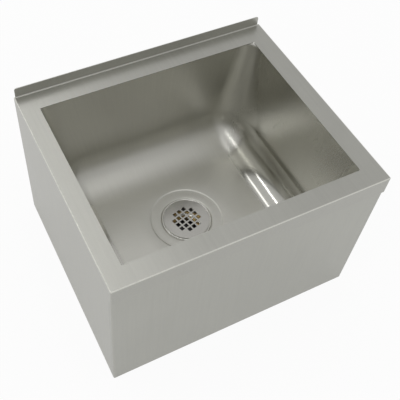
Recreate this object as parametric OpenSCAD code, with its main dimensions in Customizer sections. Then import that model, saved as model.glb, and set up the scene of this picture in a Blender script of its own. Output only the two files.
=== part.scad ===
// Floor-standing mop service sink in stainless sheet, with a lift-out strainer.
// Millimetres. +Z is up, the front faces -Y, and the origin is the centre of the footprint on the floor.

/* [Overall] */
// Width over the folded lips of the deck
overall_w = 635; // [560:1:760]
// Depth from the front lip to the back of the splash flange
overall_d = 533.4; // [480:1:660]
// Height of the deck's top face above the floor
deck_h = 406.4; // [380:1:480]

/* [Deck] */
// Thickness of the deck sheet
deck_t = 1.6; // [1.2:0.1:2.5]
// Depth of the folded lips, from the deck's top face
lip_h = 47; // [30:1:70]
// Outer radius of the deck's folds
bend_r = 2.6; // [2.6:0.1:4]
// Radius of the box's vertical front corners, seen from above
corner_r = 3.2; // [2.8:0.1:8]
// Deck width over each side panel, from the panel's outer face to the bowl opening
side_margin = 41.275; // [35:0.5:60]
// Deck width in front of the bowl opening
front_margin = 44.45; // [38:0.5:60]
// Deck width behind the bowl opening
back_margin = 53.975; // [50:0.5:80]
// How far the right lip stands out past the right side panel
right_lip_out = 6.35; // [3:0.25:12]

/* [Splash flange] */
// Height of the rear splash flange above the deck
flange_h = 25.4; // [15:0.5:60]
// Setback of the flange's left end from the deck's left edge
flange_end_left = 3.5; // [0:0.5:20]
// Setback of the flange's right end from the deck's right edge
flange_end_right = 7; // [0:0.5:20]
// Radius of the flange's two upper corners
flange_tip_r = 6; // [2:0.5:12]
// Inside radius where the flange is folded up from the deck
flange_root_r = 3.2; // [1:0.1:6]

/* [Bowl] */
// Depth of the bowl, from the deck's top face to its floor
bowl_depth = 304.8; // [250:1:320]
// Thickness of the bowl's sheet
bowl_t = 1.2; // [0.9:0.1:2]
// How far the bowl's side walls stand back under the deck at the top
side_setback = 10; // [8:0.5:14]
// How far the bowl's front and back walls stand back under the deck at the top
end_setback = 17; // [12:0.5:20]
// How far the two side walls lean inwards between the top and the floor
side_lean = 15; // [0:1:25]
// How far the front and back walls lean inwards between the top and the floor
end_lean = 2; // [0:1:15]
// Radius of the bowl's upright corners at the top
bowl_corner_r = 46; // [15:1:46]
// Radius of the coves between the side walls and the floor
side_cove_r = 80; // [35:1:90]
// Reach of the coves along the floor from the front and back walls
end_cove_reach = 110; // [35:1:115]
// Width of the bowl's weld flange under the deck
bowl_flange_w = 7; // [4:0.5:8]
// Radius of the pressed dish round the drain
dish_r = 90; // [80:1:98]
// Depth of the pressed dish
dish_depth = 4; // [2:0.5:6]
// Run of the dish's sloping side, seen from above
dish_slope = 20; // [3:0.5:20]

/* [Skirt] */
// Thickness of the skirt panels and rails
skirt_t = 1.2; // [0.9:0.1:2]
// Clearance between the skirt panels and the inside of the lips
lip_clear = 0.1; // [0.05:0.05:0.5]
// Length of the front panel's turned ends
front_return = 14; // [8:1:30]
// Width of the turned-in foot
foot_w = 22; // [15:1:40]
// Width of the side panels' rear returns
rear_return = 22; // [12:1:40]
// Height of the rear rails
rail_h = 40; // [20:1:80]
// Leg of the corner gussets
gusset_leg = 48; // [30:1:80]
// Thickness of the corner gussets
gusset_t = 2; // [1:0.5:4]

/* [Sound pads] */
// Length of each pad, along the sink's width
pad_len = 70; // [40:1:80]
// Width of each pad
pad_w = 88; // [40:1:95]
// Thickness of each pad
pad_t = 3; // [1:0.5:5]
// Gap between two pads, and between a pad and the dish
pad_gap = 14; // [8:1:20]

/* [Drain] */
// Outer radius of the drain body
body_r = 44.45; // [40:0.05:48]
// Wall of the drain body's cup
body_wall = 3.15; // [2:0.05:5]
// Height of the drain body's open end above the floor
body_end_z = 26; // [15:1:40]
// Clearance between the drain body and the hole in the bowl
hole_clear = 1.05; // [0.5:0.05:3]
// Width of the drain body's rim outside the cup
rim_w = 18.05; // [16:0.05:22]
// Thickness of the rim's outer edge
rim_t = 3.4; // [3:0.1:5]
// Depth of the recess that holds the strainer
recess_depth = 2.2; // [2:0.1:2.6]
// Chamfer on the rim's outer edge
rim_chamfer = 0.8; // [0.3:0.1:1.2]
// Thickness of the sealing bead under the rim
bead_t = 1; // [0.5:0.1:3]
// Width of the sealing bead
bead_w = 14; // [8:0.5:15]
// Height of the cup's shoulder above the body's open end
shoulder_up = 36; // [34:1:44]
// Radius of the neck that holds the pipe gasket
neck_r = 38; // [35:0.5:39]
// Height of the lip that the pipe gasket stands on
pipe_lip_h = 4; // [2:0.5:6]

/* [Strainer] */
// Radius of the strainer plate
plate_r = 57.15; // [54:0.05:57.5]
// Thickness of the strainer plate
plate_t = 2; // [1.5:0.1:3]
// Chamfer on the plate's upper edge
plate_chamfer = 0.6; // [0.2:0.1:1]
// Radial clearance between the plate and its recess
plate_clear = 0.45; // [0.3:0.05:1.5]
// Side of each square hole
mesh_hole = 9; // [6:0.5:10]
// Width of the bars between the holes
mesh_bar = 4.8; // [3:0.1:6]
// Holes along the longest row
mesh_count = 5; // [3:2:5]
// Turn of the hole pattern, seen from above
mesh_turn = 15; // [0:1:45]

/* [Drain fastening] */
// Width of the two washers under the bowl
washer_w = 14; // [8:0.5:15]
// Thickness of the rubber washer
rubber_t = 3; // [2:0.5:6]
// Thickness of the fibre friction washer
friction_t = 1.2; // [0.5:0.1:2]
// Clearance between the drain body and the washers and nut
thread_clear = 0.15; // [0.1:0.05:0.5]
// Height of the locknut
nut_h = 10; // [6:0.5:16]
// Wall of the locknut
nut_wall = 6.4; // [4:0.1:8]
// Reach of the locknut's lugs
lug_reach = 6; // [3:0.5:8]
// Width of the locknut's lugs
lug_w = 12; // [6:1:20]
// Number of lugs
lug_count = 6; // [3:1:8]

/* [Pipe seal] */
// Radius of the pipe gasket's bore, for a pipe of 60.3 mm
pipe_bore_r = 30.35; // [28:0.05:31]
// Height of the pipe gasket
gasket_h = 20; // [15:1:22]
// Height of the compression ring
ring_h = 11; // [8:0.5:12]
// Clearance of the gasket and the ring in the neck
neck_clear = 0.1; // [0.05:0.05:0.5]
// Clearance round the pipe in the lip and the compression ring
pipe_clear = 0.7; // [0.3:0.05:1.5]
// Depth of the key slots in the compression ring
slot_depth = 4; // [2:0.5:6]
// Width of the key slots
slot_w = 8; // [4:0.5:12]

/* [Hidden] */

$fn = 96;
// Overshoot of a cutting shape past the face that it cuts
over = 1;
// Overlap of two cuts, which leaves no film between them
film = 0.01;
// Sides of the round shapes inside a hull
hull_fn = 40;

left_x = -overall_w / 2;
right_x = overall_w / 2;
front_y = -overall_d / 2;
back_y = overall_d / 2;
deck_under = deck_h - deck_t;
lip_z = deck_h - lip_h;

// The right side panel's outer face, and the opening in the deck
panel_right_x = right_x - right_lip_out;
open_x0 = left_x + side_margin;
open_x1 = panel_right_x - side_margin;
open_y0 = front_y + front_margin;
open_y1 = back_y - back_margin;
drain_x = (open_x0 + open_x1) / 2;
drain_y = (open_y0 + open_y1) / 2;

// Inside of the bowl at the top
bowl_x0 = open_x0 - side_setback;
bowl_x1 = open_x1 + side_setback;
bowl_y0 = open_y0 - end_setback;
bowl_y1 = open_y1 + end_setback;
floor_z = deck_h - bowl_depth;
dish_z = floor_z - dish_depth;
bowl_under = floor_z - bowl_t;
dish_under = dish_z - bowl_t;
hole_r = body_r + hole_clear;

// The skirt stands back behind the lips at the front and on the left, and ends below the deck's inner bend
behind_lip = deck_t + lip_clear;
panel_top = deck_under - (bend_r - deck_t);

// Drain stack, from the dish upwards
rim_z = dish_z + bead_t;
rim_top = rim_z + rim_t;
recess_z = rim_top - recess_depth;
rim_r = body_r + rim_w;
recess_r = plate_r + plate_clear;
cup_r = body_r - body_wall;
shoulder_z = body_end_z + shoulder_up;
pipe_lip_z = body_end_z + pipe_lip_h;
pipe_lip_r = pipe_bore_r + pipe_clear;
mesh_pitch = mesh_hole + mesh_bar;
mesh_half = (mesh_count - 1) / 2;

// Drain stack, from the dish downwards
washer_r = body_r + thread_clear;
friction_z = dish_under - rubber_t - friction_t;
nut_z = friction_z - nut_h;

steel = [0.66, 0.66, 0.62];
steel_dark = [0.52, 0.52, 0.49];
cast_steel = [0.60, 0.60, 0.57];
black_rubber = [0.10, 0.10, 0.10];
red_fibre = [0.45, 0.20, 0.14];
brass = [0.72, 0.56, 0.28];

// A box from its two opposite corners
module box(low, high) {
    translate(low) cube(high - low);
}

// What a round corner of radius r takes off the corner of a square at the origin
module corner_waste(r) {
    difference() {
        translate([-over, -over]) square(r + over);
        translate([r, r]) circle(r);
    }
}

// Outline of the box from above: straight at the back, round at the two front corners
module box_outline(left, right, front, back, r) {
    difference() {
        translate([left, front]) square([right - left, back - front]);
        translate([left, front]) corner_waste(r);
        translate([right, front]) mirror([1, 0]) corner_waste(r);
    }
}

// The folded pan's solid block, drawn in by inset on every face; its top edges and front corners are round
module deck_block(inset, bottom, back) {
    edge_r = bend_r - inset;
    top = deck_h - inset;
    intersection() {
        translate([0, 0, bottom])
            linear_extrude(top - bottom)
                box_outline(left_x + inset, right_x - inset, front_y + inset, back, corner_r - inset);
        translate([left_x - over, 0, 0]) rotate([90, 0, 90])
            linear_extrude(overall_w + 2 * over)
                difference() {
                    translate([front_y + inset, bottom]) square([back - front_y - inset, top - bottom]);
                    translate([front_y + inset, top]) mirror([0, 1]) corner_waste(edge_r);
                }
        translate([0, back + over, 0]) rotate([90, 0, 0])
            linear_extrude(overall_d + 4 * over)
                difference() {
                    translate([left_x + inset, bottom]) square([overall_w - 2 * inset, top - bottom]);
                    translate([left_x + inset, top]) mirror([0, 1]) corner_waste(edge_r);
                    translate([right_x - inset, top]) mirror([1, 0]) mirror([0, 1]) corner_waste(edge_r);
                }
    }
}

// The upright strip at the back of the deck, with the fillet of its fold
module splash_flange() {
    end_left = left_x + flange_end_left;
    end_right = right_x - flange_end_right;
    flange_top = deck_h + flange_h;
    face_y = back_y - deck_t;
    intersection() {
        translate([end_left, 0, 0]) rotate([90, 0, 90])
            linear_extrude(end_right - end_left) {
                translate([face_y, deck_under]) square([deck_t, flange_top - deck_under]);
                difference() {
                    translate([face_y - flange_root_r, deck_under])
                        square([flange_root_r + deck_t / 2, deck_t + flange_root_r]);
                    translate([face_y - flange_root_r, deck_h + flange_root_r]) circle(flange_root_r);
                }
            }
        translate([0, back_y + over, 0]) rotate([90, 0, 0])
            linear_extrude(back_margin)
                difference() {
                    translate([end_left, deck_under]) square([end_right - end_left, flange_top - deck_under]);
                    translate([end_left, flange_top]) mirror([0, 1]) corner_waste(flange_tip_r);
                    translate([end_right, flange_top]) mirror([1, 0]) mirror([0, 1]) corner_waste(flange_tip_r);
                }
    }
}

// One sheet: deck, three folded lips and the splash flange
module deck_rim() {
    color(steel) {
        difference() {
            deck_block(0, lip_z, back_y);
            deck_block(deck_t, lip_z - over, back_y + over);
            box([open_x0, open_y0, lip_z], [open_x1, open_y1, deck_h + over]);
        }
        splash_flange();
    }
}

// The bowl's hollow: upright corners that widen into the coves; grow moves every face outwards
module bowl_shape(grow, top) {
    around = 1 / cos(180 / hull_fn);
    hull() {
        for (x = [bowl_x0 + side_lean + side_cove_r, bowl_x1 - side_lean - side_cove_r])
            for (y = [bowl_y0 + end_lean + end_cove_reach, bowl_y1 - end_lean - end_cove_reach])
                translate([x, y, floor_z + side_cove_r])
                    scale([side_cove_r + grow, end_cove_reach + grow, side_cove_r + grow])
                        sphere(around, $fn = hull_fn);
        for (x = [bowl_x0 + bowl_corner_r, bowl_x1 - bowl_corner_r])
            for (y = [bowl_y0 + bowl_corner_r, bowl_y1 - bowl_corner_r])
                translate([x, y, deck_under]) cylinder(h = top, r = bowl_corner_r + grow, $fn = hull_fn);
    }
}

// Pressed tub with a dish for the drain and a weld flange under the deck
module bowl() {
    color(steel_dark)
        difference() {
            union() {
                intersection() {
                    bowl_shape(bowl_t, over);
                    box([left_x, front_y, dish_under], [right_x, back_y, deck_under]);
                }
                box(
                    [bowl_x0 - bowl_t - bowl_flange_w, bowl_y0 - bowl_t - bowl_flange_w, deck_under - bowl_t],
                    [bowl_x1 + bowl_t + bowl_flange_w, bowl_y1 + bowl_t + bowl_flange_w, deck_under]
                );
                translate([drain_x, drain_y, dish_under])
                    cylinder(h = dish_depth + bowl_t / 2, r1 = dish_r - dish_slope + bowl_t, r2 = dish_r + bowl_t);
            }
            bowl_shape(0, 2 * over);
            translate([drain_x, drain_y, dish_z])
                cylinder(h = dish_depth + film, r1 = dish_r - dish_slope, r2 = dish_r);
            translate([drain_x, drain_y, dish_under - over])
                cylinder(h = dish_depth + bowl_t + 2 * over, r = hole_r);
        }
}

// Outline of the skirt, drawn in by step behind the lips at the front and left, and by wall on all sides
module skirt_outline(step, wall, back) {
    box_outline(left_x + step + wall, panel_right_x - wall, front_y + step + wall, back, corner_r - wall);
}

// The three walls of the skirt: flush with the lips below, stepped in behind them up to top
module skirt_walls(top) {
    linear_extrude(lip_z)
        difference() {
            skirt_outline(0, 0, back_y);
            skirt_outline(0, skirt_t, back_y + over);
        }
    translate([0, 0, lip_z - skirt_t])
        linear_extrude(skirt_t)
            difference() {
                skirt_outline(0, 0, back_y);
                skirt_outline(behind_lip, skirt_t, back_y + over);
            }
    translate([0, 0, lip_z - skirt_t])
        linear_extrude(top - lip_z + skirt_t)
            difference() {
                skirt_outline(behind_lip, 0, back_y);
                skirt_outline(behind_lip, skirt_t, back_y + over);
            }
}

module front_skirt() {
    color(steel) {
        intersection() {
            skirt_walls(panel_top);
            box([left_x, front_y, 0], [right_x, front_y + front_return, deck_under]);
        }
        box([left_x + skirt_t, front_y + skirt_t, 0], [panel_right_x - skirt_t, front_y + foot_w, skirt_t]);
    }
}

module left_skirt() {
    color(steel) {
        intersection() {
            skirt_walls(panel_top);
            box([left_x, front_y + front_return, 0], [0, back_y, deck_under]);
        }
        box([left_x + skirt_t, front_y + foot_w, 0], [left_x + foot_w, back_y - 2 * skirt_t, skirt_t]);
        box([left_x, back_y - skirt_t, 0], [left_x + rear_return, back_y, lip_z]);
        box([left_x + behind_lip, back_y - skirt_t, lip_z - skirt_t], [left_x + rear_return, back_y, panel_top]);
    }
}

module right_skirt() {
    color(steel) {
        intersection() {
            skirt_walls(deck_under);
            box([0, front_y + front_return, 0], [panel_right_x, back_y, deck_under]);
        }
        box([panel_right_x - foot_w, front_y + foot_w, 0], [panel_right_x - skirt_t, back_y - 2 * skirt_t, skirt_t]);
        box([panel_right_x - rear_return, back_y - skirt_t, 0], [panel_right_x, back_y, deck_under]);
    }
}

// Folded angle under the back of the deck, lapped on the side panels' returns
module rear_top_rail() {
    leg_y = back_y - 2 * skirt_t;
    rail_x0 = left_x + behind_lip + skirt_t;
    rail_x1 = panel_right_x - skirt_t;
    rail_reach = back_margin - end_setback - bowl_t - bowl_flange_w - 2 * skirt_t;
    color(steel_dark) {
        box([rail_x0, leg_y, deck_under - rail_h], [rail_x1, leg_y + skirt_t, deck_under]);
        box([rail_x0, leg_y - rail_reach / 2, deck_under - skirt_t], [rail_x1, leg_y + skirt_t / 2, deck_under]);
    }
}

// Folded angle on the floor that ties the side panels at the back
module rear_base_rail() {
    leg_y = back_y - 2 * skirt_t;
    color(steel_dark) {
        box([left_x + skirt_t, leg_y, 0], [panel_right_x - skirt_t, leg_y + skirt_t, rail_h]);
        box([left_x + foot_w, leg_y - foot_w, 0], [panel_right_x - foot_w, leg_y + skirt_t / 2, skirt_t]);
    }
}

// A corner plate with its inner point cut off, which clears the bend of the panels
module gusset() {
    linear_extrude(gusset_t)
        polygon([[corner_r, 0], [gusset_leg, 0], [0, gusset_leg], [0, corner_r]]);
}

// Four corner plates, welded on top of the turned-in feet
module foot_gussets() {
    in_x0 = left_x + skirt_t;
    in_x1 = panel_right_x - skirt_t;
    in_y0 = front_y + skirt_t;
    in_y1 = back_y - 2 * skirt_t;
    color(steel_dark) {
        translate([in_x0, in_y0, skirt_t]) gusset();
        translate([in_x1, in_y0, skirt_t]) mirror([1, 0, 0]) gusset();
        translate([in_x0, in_y1, skirt_t]) mirror([0, 1, 0]) gusset();
        translate([in_x1, in_y1, skirt_t]) mirror([1, 0, 0]) mirror([0, 1, 0]) gusset();
    }
}

// Four rubber pads glued under the bowl's floor, beside the dish
module sound_pads() {
    color(black_rubber)
        for (side = [-1, 1])
            for (row = [-1, 1])
                translate([
                    drain_x + side * (dish_r + bowl_t + pad_gap + pad_len / 2),
                    drain_y + row * (pad_gap + pad_w) / 2,
                    bowl_under - pad_t / 2
                ])
                    cube([pad_len, pad_w, pad_t], center = true);
}

// A flat ring about the drain's axis
module ring(inner, outer, bottom, height) {
    translate([drain_x, drain_y, bottom])
        difference() {
            cylinder(h = height, r = outer);
            translate([0, 0, -over]) cylinder(h = height + 2 * over, r = inner);
        }
}

// Sealing bead between the rim and the dish
module flange_bead() {
    color(black_rubber) ring(hole_r, hole_r + bead_w, dish_z, bead_t);
}

// Cast cup with a recessed rim above, and below a neck with a lip that the pipe comes up through
module drain_body() {
    color(cast_steel)
        translate([drain_x, drain_y, 0])
            difference() {
                union() {
                    translate([0, 0, body_end_z]) cylinder(h = rim_top - body_end_z - rim_t / 2, r = body_r);
                    translate([0, 0, rim_z]) cylinder(h = rim_t - rim_chamfer, r = rim_r);
                    translate([0, 0, rim_top - rim_chamfer])
                        cylinder(h = rim_chamfer, r1 = rim_r, r2 = rim_r - rim_chamfer);
                }
                translate([0, 0, recess_z]) cylinder(h = recess_depth + over, r = recess_r);
                translate([0, 0, shoulder_z]) cylinder(h = rim_top - shoulder_z, r = cup_r);
                translate([0, 0, pipe_lip_z]) cylinder(h = shoulder_z - pipe_lip_z + over, r = neck_r);
                translate([0, 0, body_end_z - over]) cylinder(h = pipe_lip_h + 2 * over, r = pipe_lip_r);
            }
}

// Round plate with a grid of square holes, its corner holes left out
module strainer_plate() {
    color(steel)
        translate([drain_x, drain_y, recess_z])
            difference() {
                union() {
                    cylinder(h = plate_t - plate_chamfer, r = plate_r);
                    translate([0, 0, plate_t - plate_chamfer])
                        cylinder(h = plate_chamfer, r1 = plate_r, r2 = plate_r - plate_chamfer);
                }
                rotate(mesh_turn)
                    for (i = [-mesh_half:mesh_half])
                        for (j = [-mesh_half:mesh_half])
                            if (abs(i) + abs(j) < 2 * mesh_half)
                                translate([i * mesh_pitch, j * mesh_pitch, plate_t / 2])
                                    cube([mesh_hole, mesh_hole, plate_t + 2 * over], center = true);
            }
}

module rubber_washer() {
    color(black_rubber) ring(washer_r, washer_r + washer_w, dish_under - rubber_t, rubber_t);
}

module friction_washer() {
    color(red_fibre) ring(washer_r, washer_r + washer_w, friction_z, friction_t);
}

// Round nut with lugs for a spanner
module locknut() {
    color(brass)
        translate([drain_x, drain_y, nut_z])
            difference() {
                union() {
                    cylinder(h = nut_h, r = washer_r + nut_wall);
                    for (k = [0:lug_count - 1])
                        rotate(k * 360 / lug_count)
                            translate([washer_r + nut_wall / 2, -lug_w / 2, 0])
                                cube([nut_wall / 2 + lug_reach, lug_w, nut_h]);
                }
                translate([0, 0, -over]) cylinder(h = nut_h + 2 * over, r = washer_r);
            }
}

// Rubber ring that seals on the pipe
module pipe_gasket() {
    color(black_rubber) ring(pipe_bore_r, neck_r - neck_clear, pipe_lip_z, gasket_h);
}

// Threaded ring that squeezes the gasket, turned with a key in its four slots
module compression_ring() {
    ring_z = pipe_lip_z + gasket_h;
    color(brass)
        difference() {
            ring(pipe_lip_r, neck_r - neck_clear, ring_z, ring_h);
            translate([drain_x, drain_y, ring_z + ring_h - slot_depth])
                for (turn = [0, 90])
                    rotate(turn)
                        translate([-neck_r - over, -slot_w / 2, 0])
                            cube([2 * (neck_r + over), slot_w, slot_depth + over]);
        }
}

deck_rim();
bowl();
front_skirt();
left_skirt();
right_skirt();
rear_top_rail();
rear_base_rail();
foot_gussets();
sound_pads();
flange_bead();
drain_body();
strainer_plate();
rubber_washer();
friction_washer();
locknut();
pipe_gasket();
compression_ring();
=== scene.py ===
# %% [markdown]
# # A floor-standing mop sink, dressed
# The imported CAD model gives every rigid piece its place. This lesson loads it, sets up a camera
# and plain studio light, and then gives each piece its finish: brushed sheet for the box, a smooth
# pressed tub, a turned drain with its perforated strainer, and the rubber and brass fittings
# below.

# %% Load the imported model
import math

import bmesh
import bpy
from mathutils import Matrix, Vector


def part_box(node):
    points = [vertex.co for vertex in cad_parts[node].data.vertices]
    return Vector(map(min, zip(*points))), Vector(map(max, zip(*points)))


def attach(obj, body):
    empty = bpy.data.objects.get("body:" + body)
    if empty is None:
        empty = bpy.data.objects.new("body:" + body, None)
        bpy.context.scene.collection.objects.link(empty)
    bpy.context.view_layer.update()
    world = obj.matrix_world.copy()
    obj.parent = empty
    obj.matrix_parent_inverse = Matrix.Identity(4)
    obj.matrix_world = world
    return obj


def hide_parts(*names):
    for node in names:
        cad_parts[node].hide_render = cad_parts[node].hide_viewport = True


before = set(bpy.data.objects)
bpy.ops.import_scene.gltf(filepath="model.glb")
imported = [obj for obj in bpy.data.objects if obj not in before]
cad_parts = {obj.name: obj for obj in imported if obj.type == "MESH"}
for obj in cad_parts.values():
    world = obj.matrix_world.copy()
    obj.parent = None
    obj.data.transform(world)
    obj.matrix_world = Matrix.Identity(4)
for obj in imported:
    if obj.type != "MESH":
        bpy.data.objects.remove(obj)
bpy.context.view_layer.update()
scene = bpy.context.scene
MM = 0.001
print("nodes:", sorted(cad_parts))

# %% [markdown]
# ## Camera
# The photograph looks down into the bowl from the front left. The lens, the tilt and the place
# were worked out from the straight edges of the box, whose real sizes are known. The frame is
# cropped a little off the lens axis, which a small shift of the camera repeats.

# %% Camera at the photograph's viewpoint
FRAME_PX = 400
SENSOR_MM = 36.0
FOCAL_PX = 669.973
CENTRE_PX = (167.972, 186.285)
CAMERA_TURN = math.radians(-30.118)
CAMERA_RISE = math.radians(52.84)
CAMERA_ROLL = math.radians(4.582)
CAMERA_PLACE = Vector((-525.676, -799.796, 1483.214)) * MM


def photo_camera():
    lens = bpy.data.cameras.new("photo_camera")
    lens.sensor_width = SENSOR_MM
    lens.lens = SENSOR_MM * FOCAL_PX / FRAME_PX
    lens.shift_x = (FRAME_PX / 2 - CENTRE_PX[0]) / FRAME_PX
    lens.shift_y = (CENTRE_PX[1] - FRAME_PX / 2) / FRAME_PX
    back = Vector((
        math.sin(CAMERA_TURN) * math.cos(CAMERA_RISE),
        -math.cos(CAMERA_TURN) * math.cos(CAMERA_RISE),
        math.sin(CAMERA_RISE),
    ))
    level = (-back).cross(Vector((0, 0, 1))).normalized()
    upright = level.cross(-back)
    right = math.cos(CAMERA_ROLL) * level + math.sin(CAMERA_ROLL) * upright
    up = math.cos(CAMERA_ROLL) * upright - math.sin(CAMERA_ROLL) * level
    camera = bpy.data.objects.new("photo_camera", lens)
    scene.collection.objects.link(camera)
    facing = Matrix((right, up, back)).transposed().to_4x4()
    camera.matrix_world = Matrix.Translation(CAMERA_PLACE) @ facing
    scene.camera = camera
    return camera


print("camera at", tuple(round(c, 3) for c in photo_camera().location))

# %% [markdown]
# ## Room
# Metal shows what stands round it, so the light is part of the finish. The room is white and
# nearly even. Two long, narrow lamps run from front to back high above the sink, one overhead and
# one on the left. They are by far the brightest things in the room, so the tub mirrors them as
# thin bright lines in its coves.

# %% White room
scene.view_settings.view_transform = "Standard"
LOW_SKY, HIGH_SKY = 0.60, 0.64
SKY_RISE_FROM, SKY_RISE_TO = 0.45, 0.95


def add_ramp(tree, value, start, end, low=0.0, high=1.0, soft=False):
    """Start to end of a value, turned into low to high, and held level beyond both."""
    node = tree.nodes.new("ShaderNodeMapRange")
    if soft:
        node.interpolation_type = "SMOOTHSTEP"
    node.inputs["From Min"].default_value = start
    node.inputs["From Max"].default_value = end
    node.inputs["To Min"].default_value = low
    node.inputs["To Max"].default_value = high
    tree.links.new(value, node.inputs["Value"])
    return node.outputs["Result"]


def white_room():
    """A white room that is a little brighter overhead than at eye level."""
    world = bpy.data.worlds.new("white_room")
    world.use_nodes = True
    tree = world.node_tree
    direction = tree.nodes.new("ShaderNodeTexCoord")
    split = tree.nodes.new("ShaderNodeSeparateXYZ")
    tree.links.new(direction.outputs["Generated"], split.inputs[0])
    strength = add_ramp(tree, split.outputs["Z"], SKY_RISE_FROM, SKY_RISE_TO,
                        LOW_SKY, HIGH_SKY, soft=True)
    background = tree.nodes["Background"]
    background.inputs["Color"].default_value = (1, 1, 1, 1)
    tree.links.new(strength, background.inputs["Strength"])
    scene.world = world
    return world


print("world:", white_room().name)

# %% Two long lamps
SINK_MIDDLE = Vector((0, 0, 0.25))
LAMPS = (  # name, place, width and length in metres, watts
    ("overhead_panel", (0.25, 0.9, 4.0), 0.3, 6.6, 12),
    ("side_strip", (-1.8, 0.2, 3.45), 0.16, 5.6, 18),
)


def light_panel(name, place, width, length, watts):
    """A soft panel that faces the sink, its length lying along Y."""
    lamp = bpy.data.lights.new(name, "AREA")
    lamp.shape = "RECTANGLE"
    lamp.size = width
    lamp.size_y = length
    lamp.energy = watts
    panel = bpy.data.objects.new(name, lamp)
    scene.collection.objects.link(panel)
    aim = (SINK_MIDDLE - Vector(place)).normalized()
    side = aim.cross(Vector((0, 1, 0))).normalized()
    along = side.cross(aim)
    facing = Matrix((side, along, -aim)).transposed().to_4x4()
    panel.matrix_world = Matrix.Translation(place) @ facing
    return panel


print("lamps:", [light_panel(*lamp).name for lamp in LAMPS])

# %% [markdown]
# ## Shared surface effects
# Four effects are used by more than one finish or piece: the lines left by brushing, the rings
# left by turning, a soft haze of handling and water marks, and edges rubbed bright. Each is a node
# group built once here.

# %% Helpers for node trees


def new_group(name, inputs, outputs):
    """A node group with named sockets, and its input and output nodes."""
    tree = bpy.data.node_groups.new(name, "ShaderNodeTree")
    for label, kind, value in inputs:
        socket = tree.interface.new_socket(name=label, in_out="INPUT", socket_type=kind)
        if value is not None:
            socket.default_value = value
    for label, kind in outputs:
        tree.interface.new_socket(name=label, in_out="OUTPUT", socket_type=kind)
    return tree, tree.nodes.new("NodeGroupInput"), tree.nodes.new("NodeGroupOutput")


def add_math(tree, operation, first, second=None, third=None, clamp=False):
    node = tree.nodes.new("ShaderNodeMath")
    node.operation = operation
    node.use_clamp = clamp
    for slot, value in enumerate((first, second, third)):
        if value is None:
            continue
        if isinstance(value, (int, float)):
            node.inputs[slot].default_value = value
        else:
            tree.links.new(value, node.inputs[slot])
    return node.outputs[0]


def add_noise(tree, vector, scale, detail=2.0, roughness=0.5):
    node = tree.nodes.new("ShaderNodeTexNoise")
    node.inputs["Detail"].default_value = detail
    node.inputs["Roughness"].default_value = roughness
    tree.links.new(vector, node.inputs["Vector"])
    if isinstance(scale, (int, float)):
        node.inputs["Scale"].default_value = scale
    else:
        tree.links.new(scale, node.inputs["Scale"])
    return node.outputs["Fac"]


# %% Lines left by brushing and rings left by turning
BROAD_STREAKS = 0.13


def brushed_lines_group():
    """Noise drawn out along X: fine lines for the relief, and broader streaks for the colour."""
    tree, given, result = new_group(
        "brushed_lines",
        [("Surface", "NodeSocketVector", None), ("Lines per metre", "NodeSocketFloat", 900.0),
         ("Line length", "NodeSocketFloat", 0.03)],
        [("Height", "NodeSocketFloat"), ("Streaks", "NodeSocketFloat")],
    )
    stretch = tree.nodes.new("ShaderNodeCombineXYZ")
    along = add_math(tree, "DIVIDE", 1.0, given.outputs["Line length"])
    tree.links.new(along, stretch.inputs["X"])
    tree.links.new(given.outputs["Lines per metre"], stretch.inputs["Y"])
    tree.links.new(given.outputs["Lines per metre"], stretch.inputs["Z"])
    scaled = tree.nodes.new("ShaderNodeVectorMath")
    scaled.operation = "MULTIPLY"
    tree.links.new(given.outputs["Surface"], scaled.inputs[0])
    tree.links.new(stretch.outputs[0], scaled.inputs[1])
    fine = add_noise(tree, scaled.outputs[0], 1.0, detail=3.0, roughness=0.6)
    broad = add_noise(tree, scaled.outputs[0], BROAD_STREAKS, detail=2.0, roughness=0.55)
    tree.links.new(fine, result.inputs["Height"])
    tree.links.new(broad, result.inputs["Streaks"])
    return tree


def turned_rings_group():
    """Noise that changes only with the distance from the lathe's axis."""
    tree, given, result = new_group(
        "turned_rings",
        [("Surface", "NodeSocketVector", None), ("Ring pitch", "NodeSocketFloat", 0.0012)],
        [("Height", "NodeSocketFloat")],
    )
    split = tree.nodes.new("ShaderNodeSeparateXYZ")
    tree.links.new(given.outputs["Surface"], split.inputs[0])
    flat = tree.nodes.new("ShaderNodeCombineXYZ")
    tree.links.new(split.outputs["X"], flat.inputs["X"])
    tree.links.new(split.outputs["Y"], flat.inputs["Y"])
    radius = tree.nodes.new("ShaderNodeVectorMath")
    radius.operation = "LENGTH"
    tree.links.new(flat.outputs[0], radius.inputs[0])
    turns = add_math(tree, "DIVIDE", radius.outputs["Value"], given.outputs["Ring pitch"])
    line = tree.nodes.new("ShaderNodeCombineXYZ")
    tree.links.new(turns, line.inputs["X"])
    rings = add_noise(tree, line.outputs[0], 1.0, detail=2.0, roughness=0.7)
    tree.links.new(rings, result.inputs["Height"])
    return tree


EFFECTS = {
    "brushed_lines": brushed_lines_group(),
    "turned_rings": turned_rings_group(),
}
print("effects:", sorted(EFFECTS))

# %% Haze of handling and rubbed edges
SPECKLES_PER_METRE = 420.0
EDGE_SAMPLES, EDGE_GAIN = 4, 3.0


def handling_haze_group():
    """Soft patches of handling and water marks, and a fine speckle."""
    tree, given, result = new_group(
        "handling_haze",
        [("Surface", "NodeSocketVector", None), ("Patch size", "NodeSocketFloat", 0.12)],
        [("Haze", "NodeSocketFloat"), ("Speckle", "NodeSocketFloat")],
    )
    scale = add_math(tree, "DIVIDE", 1.0, given.outputs["Patch size"])
    haze = add_noise(tree, given.outputs["Surface"], scale, detail=4.0, roughness=0.55)
    speckle = add_noise(tree, given.outputs["Surface"], SPECKLES_PER_METRE,
                        detail=2.0, roughness=0.6)
    tree.links.new(haze, result.inputs["Haze"])
    tree.links.new(speckle, result.inputs["Speckle"])
    return tree


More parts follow.
